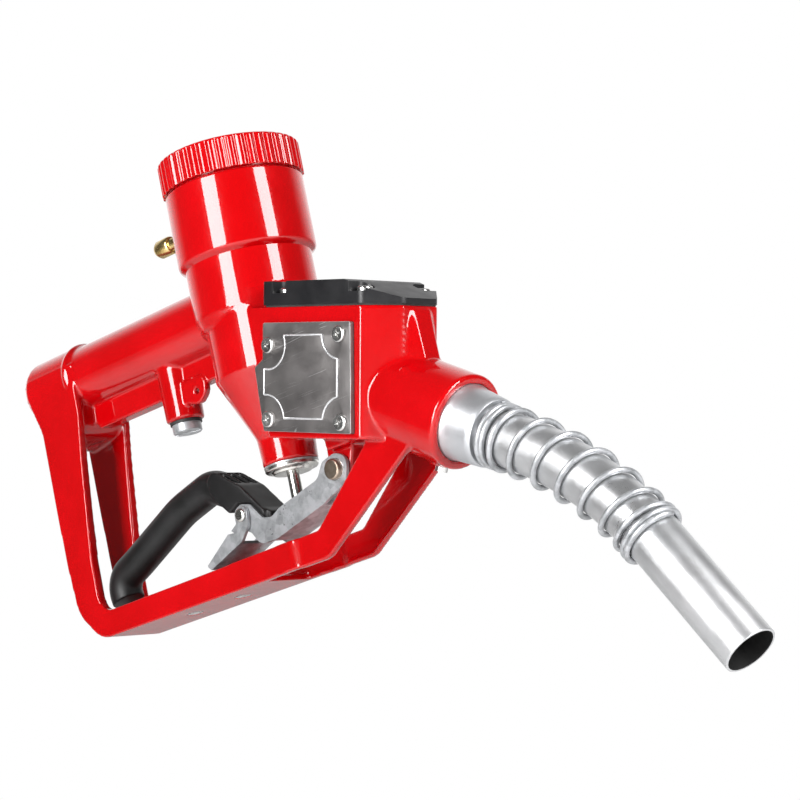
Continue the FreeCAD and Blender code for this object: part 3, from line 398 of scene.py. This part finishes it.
def plate_metal():
    """Dull pressed steel: cloudy bloom, fine speckle, long hairline scratches."""
    n = Nodes("plate_steel")
    cloud = n.ranged(n.noise(42, 5, 0.62), 0.2, 0.8, 0, 1)
    colour = n.mixed(cloud, (0.13, 0.12, 0.12), (0.22, 0.21, 0.205))
    speckle = n.scattered(900, 0.12, n.noise(160, 2), 0.48, 0.6, 0.8)
    colour = n.mixed(speckle, colour, (0.55, 0.55, 0.55))
    lines = hairlines(n)
    colour = n.mixed(lines, colour, (0.85, 0.85, 0.85))
    dullness = n.combined("SUBTRACT", n.noise(70, 4), n.combined("MULTIPLY", lines, 0.3))
    roughness = n.ranged(dullness, 0.3, 0.75, 0.30, 0.50)
    normal = n.bumps([
        (n.noise(900, 3), 0.10, 0.0001),
        (n.noise(60, 3), 0.10, 0.0006),
        (n.combined("SUBTRACT", 1.0, lines), 0.3, 0.00005),
    ])
    return n.finish(colour, roughness, normal, metallic=0.85)


def plastic(name, dark, light, rough, grain=1600, bump=0.16):
    """Moulded plastic or rubber: fine grain, dust and handling marks in the gloss."""
    n = Nodes(name)
    colour = n.mixed(n.ranged(n.noise(70, 4), 0.35, 0.68, 0, 1), dark, light)
    dust = n.scattered(330, 0.05, n.noise(50, 2), 0.58, 0.66, 0.5)
    colour = n.mixed(dust, colour, tuple(min(1.0, c * 3 + 0.08) for c in light))
    roughness = n.ranged(n.noise(48, 5, 0.6), 0.3, 0.72, rough * 0.82, rough * 1.2)
    normal = n.bumps([
        (n.noise(grain, 2), bump, 0.00008),
        (n.noise(60, 2), 0.10, 0.0006),
    ])
    n.shader.inputs["Specular IOR Level"].default_value = 0.35
    return n.finish(colour, roughness, normal)


def window():
    """Clear moulded window with faint wipe marks."""
    n = Nodes("lens_plastic")
    colour = n.mixed(n.noise(30, 3), (0.86, 0.90, 0.90), (0.96, 0.98, 0.98))
    wiped = n.noise(120, 4, 0.6, n.stretched((1, 8, 1)))
    roughness = n.ranged(wiped, 0.4, 0.7, 0.03, 0.10)
    n.shader.inputs["Transmission Weight"].default_value = 1.0
    n.shader.inputs["IOR"].default_value = 1.46
    return n.finish(colour, roughness, n.bumps([(n.noise(90, 2), 0.04, 0.0003)]))


def liquid_crystal():
    """Grey-green display cell, switched off, with its ghost columns."""
    n = Nodes("display_glass")
    wave = n.add("ShaderNodeTexWave", bands_direction="Y")
    wave.inputs["Scale"].default_value = 52
    wave.inputs["Distortion"].default_value = 0.0
    n.join(n.place, wave.inputs["Vector"])
    cloud = n.ranged(n.noise(60, 3), 0.35, 0.65, 0, 1)
    colour = n.mixed(cloud, (0.23, 0.27, 0.20), (0.29, 0.33, 0.25))
    ghost = n.ranged(wave.outputs["Fac"], 0.55, 0.85, 0.0, 0.35)
    colour = n.mixed(ghost, colour, (0.17, 0.20, 0.15))
    roughness = n.ranged(n.noise(200, 3), 0.3, 0.7, 0.10, 0.20)
    return n.finish(colour, roughness, n.bumps([(n.noise(80, 2), 0.03, 0.0003)]), coat=0.6)


def floor_paper():
    """Matt white studio paper."""
    n = Nodes("floor_paper")
    colour = n.mixed(n.noise(3, 2), (0.86, 0.86, 0.86), (0.90, 0.90, 0.90))
    return n.finish(colour, n.ranged(n.noise(6, 2), 0.3, 0.7, 0.6, 0.8))


# ---------------------------------------------------------------- materials
def grey(value):
    return (value, value, value)


METALS = {
    # slot: the mottling's darker and lighter colour, roughness, and what sets this metal apart
    "stainless": dict(dark=(0.50, 0.50, 0.49), light=(0.66, 0.66, 0.65), rough=0.22),
    "zinc_steel": dict(dark=(0.28, 0.29, 0.30), light=(0.50, 0.51, 0.53), rough=0.34,
                       grain=170, bump=0.10, spangle=0.35, pits=0.3, bare=0.66),
    "nickel_steel": dict(dark=(0.50, 0.49, 0.46), light=(0.72, 0.71, 0.68), rough=0.22,
                         grain=90, brushed=(1, 1, 8), spangle=0.2, pits=0.5),
    "spring_steel": dict(dark=(0.46, 0.46, 0.47), light=(0.66, 0.66, 0.67), rough=0.28, bare=0.92),
    "screw_steel": dict(dark=(0.52, 0.51, 0.50), light=(0.78, 0.78, 0.77), rough=0.24,
                        grain=220, bump=0.08, spangle=0.3, pits=0.4),
    "washer_steel": dict(dark=grey(0.62), light=grey(0.80), rough=0.25, grain=120),
    "plate_edge": dict(dark=(0.42, 0.42, 0.43), light=(0.66, 0.66, 0.67), rough=0.30,
                       grain=200, bare=0.6),
    "rack_steel": dict(dark=(0.20, 0.20, 0.21), light=(0.34, 0.34, 0.36), rough=0.42),
    "battery_steel": dict(dark=grey(0.60), light=grey(0.75), rough=0.25),
    "tube_aluminium": dict(dark=(0.50, 0.51, 0.52), light=(0.66, 0.66, 0.67), rough=0.33,
                           grain=26, brushed=(1, 12, 1), pits=0.3, bare=0.9),
    "collar_aluminium": dict(dark=(0.46, 0.47, 0.49), light=(0.58, 0.59, 0.61), rough=0.36,
                             grain=30, brushed=(9, 1, 9), bump=0.08, bare=0.85),
    "machined_aluminium": dict(dark=(0.56, 0.57, 0.58), light=(0.72, 0.73, 0.74), rough=0.30),
    "brass": dict(dark=(0.55, 0.37, 0.12), light=(0.83, 0.64, 0.30), rough=0.26,
                  grain=150, brushed=(1, 8, 8), bump=0.08),
    "copper_tube": dict(dark=(0.50, 0.26, 0.14), light=(0.74, 0.44, 0.28), rough=0.30),
    "bronze_pin": dict(dark=(0.20, 0.15, 0.11), light=(0.42, 0.34, 0.27), rough=0.33,
                       grain=200, bump=0.12, spangle=0.2, pits=0.8),
}
PLASTICS = {
    # painted shade: near-black for the inside of the spout tube, which is shade and not a black
    # finish
    "painted_bore_shade": dict(dark=grey(0.002), light=grey(0.006), rough=0.7),
    "seal_rubber": dict(dark=grey(0.012), light=grey(0.03), rough=0.62),
    "button_rubber": dict(dark=(0.03, 0.03, 0.032), light=(0.06, 0.06, 0.064), rough=0.55),
    "black_plastic": dict(dark=(0.004, 0.004, 0.005), light=(0.009, 0.009, 0.010), rough=0.40,
                          grain=1500, bump=0.22),
    "grip_plastic": dict(dark=grey(0.003), light=(0.007, 0.0065, 0.007), rough=0.46,
                         grain=1900, bump=0.12),
    "face_plastic": dict(dark=(0.02, 0.02, 0.022), light=(0.045, 0.045, 0.05), rough=0.38),
    "rotor_plastic": dict(dark=(0.62, 0.61, 0.57), light=(0.78, 0.77, 0.73), rough=0.40),
    "circuit_board": dict(dark=(0.01, 0.07, 0.03), light=(0.02, 0.14, 0.06), rough=0.35),
}
MATERIALS = {
    "red_enamel": enamel(),
    "plate_steel": plate_metal(),
    "display_glass": liquid_crystal(),
    "lens_plastic": window(),
}
for slot, settings in METALS.items():
    MATERIALS[slot] = metal(slot, **settings)
for slot, settings in PLASTICS.items():
    MATERIALS[slot] = plastic(slot, **settings)
for node, cad in nodes.items():
    cad.data.materials.clear()
    cad.data.materials.append(MATERIALS[slot_of[node]])


# ---------------------------------------------------------------- mesh building blocks
def object_from(name, work, replaced, *slots):
    """A piece from the bmesh work, riding on the body of the CAD node that it stands for."""
    mesh = bpy.data.meshes.new(name)
    work.to_mesh(mesh)
    work.free()
    for slot in slots or (slot_of[replaced],):
        mesh.materials.append(MATERIALS[slot])
    piece = bpy.data.objects.new(name, mesh)
    scene.collection.objects.link(piece)
    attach(piece, body_of[replaced])
    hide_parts(replaced)
    return piece


def shade(work, sharp_above):
    """Smooth faces, with edges kept sharp where they turn by more than that many degrees."""
    limit = math.radians(sharp_above)
    work.normal_update()
    for face in work.faces:
        face.smooth = True
    for edge in work.edges:
        if len(edge.link_faces) == 2:
            edge.smooth = edge.calc_face_angle(0.0) < limit


def bmesh_of(node):
    work = bmesh.new()
    work.from_mesh(nodes[node].data)
    bmesh.ops.remove_doubles(work, verts=work.verts, dist=2e-6)
    return work


def softened(node, name, width, segments, edge_slot=None):
    """The CAD node with its sharp edges rounded over; edge_slot paints the rounding."""
    work = bmesh_of(node)
    bmesh.ops.dissolve_limit(work, angle_limit=math.radians(FLAT), verts=work.verts, edges=work.edges)
    work.normal_update()
    limit = math.radians(SHARP)
    edges = [e for e in work.edges if len(e.link_faces) == 2 and e.calc_face_angle(0.0) > limit]
    made = bmesh.ops.bevel(work, geom=edges, offset=width, offset_type="OFFSET", segments=segments,
                           profile=0.6, affect="EDGES", clamp_overlap=True, harden_normals=False)
    slots = ()
    if edge_slot:
        slots = (slot_of[node], edge_slot)
        for face in made["faces"]:
            face.material_index = 1
    bmesh.ops.triangulate(work, faces=[f for f in work.faces if len(f.verts) > 4])
    shade(work, 40)
    return object_from(name, work, node, *slots)


def remeshed(node, name, voxel, rounds):
    """The CAD node as a soft casting or moulding: fine even mesh, edges and corners relaxed."""
    mesh = bpy.data.meshes.new(name)
    work = bmesh_of(node)
    work.to_mesh(mesh)
    work.free()
    draft = bpy.data.objects.new(name, mesh)
    scene.collection.objects.link(draft)
    grid = draft.modifiers.new("grid", "REMESH")
    grid.mode = "VOXEL"
    grid.voxel_size = voxel
    relax = draft.modifiers.new("relax", "SMOOTH")
    relax.factor = 0.5
    relax.iterations = rounds
    bpy.context.view_layer.update()
    depsgraph = bpy.context.evaluated_depsgraph_get()
    relaxed = bpy.data.meshes.new_from_object(draft.evaluated_get(depsgraph))
    bpy.data.objects.remove(draft)
    work = bmesh.new()
    work.from_mesh(relaxed)
    shade(work, 60)
    return object_from(name, work, node)


def outline(corners, steps=5):
    """(r, h) points of a closed profile; a third number rounds that corner."""
    points = []
    count = len(corners)
    for i, corner in enumerate(corners):
        here = Vector(corner[:2])
        if len(corner) == 2:
            points.append(here)
            continue
        radius = corner[2]
        back = (Vector(corners[i - 1][:2]) - here).normalized()
        onward = (Vector(corners[(i + 1) % count][:2]) - here).normalized()
        half = back.angle(onward) / 2
        reach = radius / math.tan(half)
        centre = here + (back + onward).normalized() * (radius / math.sin(half))
        start = here + back * reach - centre
        end = here + onward * reach - centre
        sweep = start.angle_signed(end)
        for k in range(steps + 1):
            a = -sweep * k / steps
            c = math.cos(a)
            s = math.sin(a)
            points.append(centre + Vector((start.x * c - start.y * s, start.x * s + start.y * c)))
    return points


def lathe(corners, base, steps, reach=None):
    """Bmesh turned about +Z from a closed (r, h) profile in mm; reach may change the radius."""
    points = outline(corners)
    count = len(points)
    work = bmesh.new()
    rings = []
    for k in range(steps):
        angle = 2 * math.pi * k / steps
        spoke = Vector((math.cos(angle), math.sin(angle), 0))
        ring = []
        for r, h in points:
            radius = reach(angle, r, h) if reach else r
            ring.append(work.verts.new(base + (spoke * radius + UP * h) * MM))
        rings.append(ring)
    for k in range(steps):
        a = rings[k]
        b = rings[(k + 1) % steps]
        for i in range(count):
            j = (i + 1) % count
            on_axis = points[i][0] < 1e-6 and points[j][0] < 1e-6
            if not on_axis:
                work.faces.new((a[i], b[i], b[j], a[j]))
    bmesh.ops.remove_doubles(work, verts=work.verts, dist=1e-7)
    bmesh.ops.recalc_face_normals(work, faces=work.faces)
    shade(work, 40)
    return work


def outer_rim(node):
    """Points in order round the node's outermost flat on the -Y side."""
    work = bmesh_of(node)
    outer = min(v.co.y for v in work.verts)
    flats = {f for f in work.faces if all(v.co.y < outer + 1e-5 for v in f.verts)}
    rim = [e for f in flats for e in f.edges if sum(g in flats for g in e.link_faces) == 1]
    beyond = {}
    for edge in rim:
        a, b = edge.verts
        beyond.setdefault(a, []).append(b)
        beyond.setdefault(b, []).append(a)
    start = rim[0].verts[0]
    loop = [start]
    last = start
    here = beyond[start][0]
    while here is not start:
        loop.append(here)
        one, other = beyond[here]
        last, here = here, (other if one is last else one)
    points = [Vector((v.co.x, outer, v.co.z)) for v in loop]
    work.free()
    return points


def bead_round(node, name, radius, sides, slot):
    """Round bead along the rim of the node's outermost flat, sunk a little over half into it."""
    outward = Vector((0, -1, 0))
    centres = [point - outward * radius * RIDGE_SUNK for point in outer_rim(node)]
    angles = [2 * math.pi * k / sides for k in range(sides)]
    bead = bmesh.new()
    rings = []
    for i, centre in enumerate(centres):
        tangent = (centres[(i + 1) % len(centres)] - centres[i - 1]).normalized()
        side = tangent.cross(outward)
        spokes = [side * math.cos(a) + outward * math.sin(a) for a in angles]
        rings.append([bead.verts.new(centre + spoke * radius) for spoke in spokes])
    for i, second in enumerate(rings):
        first = rings[i - 1]
        for k in range(sides):
            bead.faces.new((first[k - 1], first[k], second[k], second[k - 1]))
    bmesh.ops.recalc_face_normals(bead, faces=bead.faces)
    shade(bead, 60)
    object_from(name, bead, node, slot)


# ---------------------------------------------------------------- metering head
def make_ring(head):
    """Knurled ring: rounded vertical flutes round its skirt, fading out at its top edge."""
    bottom, top = (corner.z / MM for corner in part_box("knurled_ring"))

    def fluted(angle, r, h):
        if r < FLUTED_FROM:
            return r
        wave = 0.5 - 0.5 * math.cos(angle * FLUTES)
        depth = FLUTE_DEPTH * max(0.0, min(1.0, (top - h) / FLUTE_FADE))
        return r - depth * wave ** 1.5

    profile = [
        (RING_BORE, bottom),
        (RING_RADIUS, bottom, 0.35),
        (RING_RADIUS, bottom + 5),
        (RING_RADIUS, bottom + 10),
        (RING_RADIUS, top, 1.6),
        (RING_WINDOW + RING_FLARE, top, 0.7),
        (RING_WINDOW, top - RING_LIP),
        (RING_BORE, top - RING_LIP),
    ]
    object_from("fluted_ring", lathe(profile, head, FLUTES * FLUTE_STEPS, fluted), "knurled_ring")


def make_housing(head):
    """Closed cup with a rounded foot, a shoulder and the neck that the ring screws on."""
    low, high = (corner.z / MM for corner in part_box("meter_housing"))
    profile = [
        (0, low),
        (HOUSING_FOOT, low, 0.3),
        (HOUSING_FOOT, low + 1.0, 0.3),
        (HOUSING_RADIUS, low + 3.4, 3.0),
        (HOUSING_RADIUS, HOUSING_SHOULDER, 0.9),
        (HOUSING_NECK, HOUSING_SHOULDER + 0.1, 0.3),
        (HOUSING_NECK, high, 0.4),
        (HOUSING_BORE, high),
        (HOUSING_BORE, low + HOUSING_FLOOR, 1.0),
        (0, low + HOUSING_FLOOR),
    ]
    object_from("housing", lathe(profile, head, HOUSING_STEPS), "meter_housing")


# ---------------------------------------------------------------- painted shade in the spout bore, and springs
def paint_bore_shade(tube):
    """Painted shade: near-black colour in the spout's bore behind its mouth, where the inside of the
    tube lies in shade.
    """
    tube.data.materials.append(MATERIALS["painted_bore_shade"])
    tip = Vector(mounts["spout_outlet"]["pos_m"])
    along = Vector(mounts["spout_outlet"]["axis"]).normalized()
    for face in tube.data.polygons:
        height = (face.center - tip).dot(along)
        away = face.center - tip - along * height
        if away.length < BORE_RADIUS and face.normal.dot(away) < 0 and height > -BORE_SHADE_REACH:
            face.material_index = 1


def make_spring(node):
    """A coil spring: the CAD node's coil, shaded smooth, as a piece with a mesh of its own on the
    node's body.
    """
    work = bmesh_of(node)
    shade(work, 60)
    piece = object_from(node + "_coil", work, node)
    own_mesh(piece)


# ---------------------------------------------------------------- floor
def make_floor():
    mesh = bpy.data.meshes.new("floor")
    work = bmesh.new()
    bmesh.ops.create_grid(work, x_segments=1, y_segments=1, size=FLOOR_HALF)
    work.to_mesh(mesh)
    work.free()
    mesh.materials.append(floor_paper())
    floor = bpy.data.objects.new("floor", mesh)
    floor.location = (FLOOR_MIDDLE, 0, cad_box[0][2] - FLOOR_BELOW)
    scene.collection.objects.link(floor)


# ---------------------------------------------------------------- build
head_base = Vector((joints["rotor_spin"]["pos_m"][0], 0, 0))
remeshed("body_casting", "casting", CASTING_VOXEL, CASTING_ROUNDS)
remeshed("lever_grip", "grip", GRIP_VOXEL, GRIP_ROUNDS)
make_ring(head_base)
make_housing(head_base)
softened("top_cover", "cover", 0.0007, 3)
softened("side_plate", "plate", 0.00045, 2, "plate_edge")
bead_round("side_plate", "plate_ridge", RIDGE_RADIUS, RIDGE_SIDES, "plate_edge")
pieces = {settings[1]: softened(*settings) for settings in SOFTENED}
paint_bore_shade(pieces["tube"])
for node, joint_name in SPRINGS:
    make_spring(node)
make_floor()
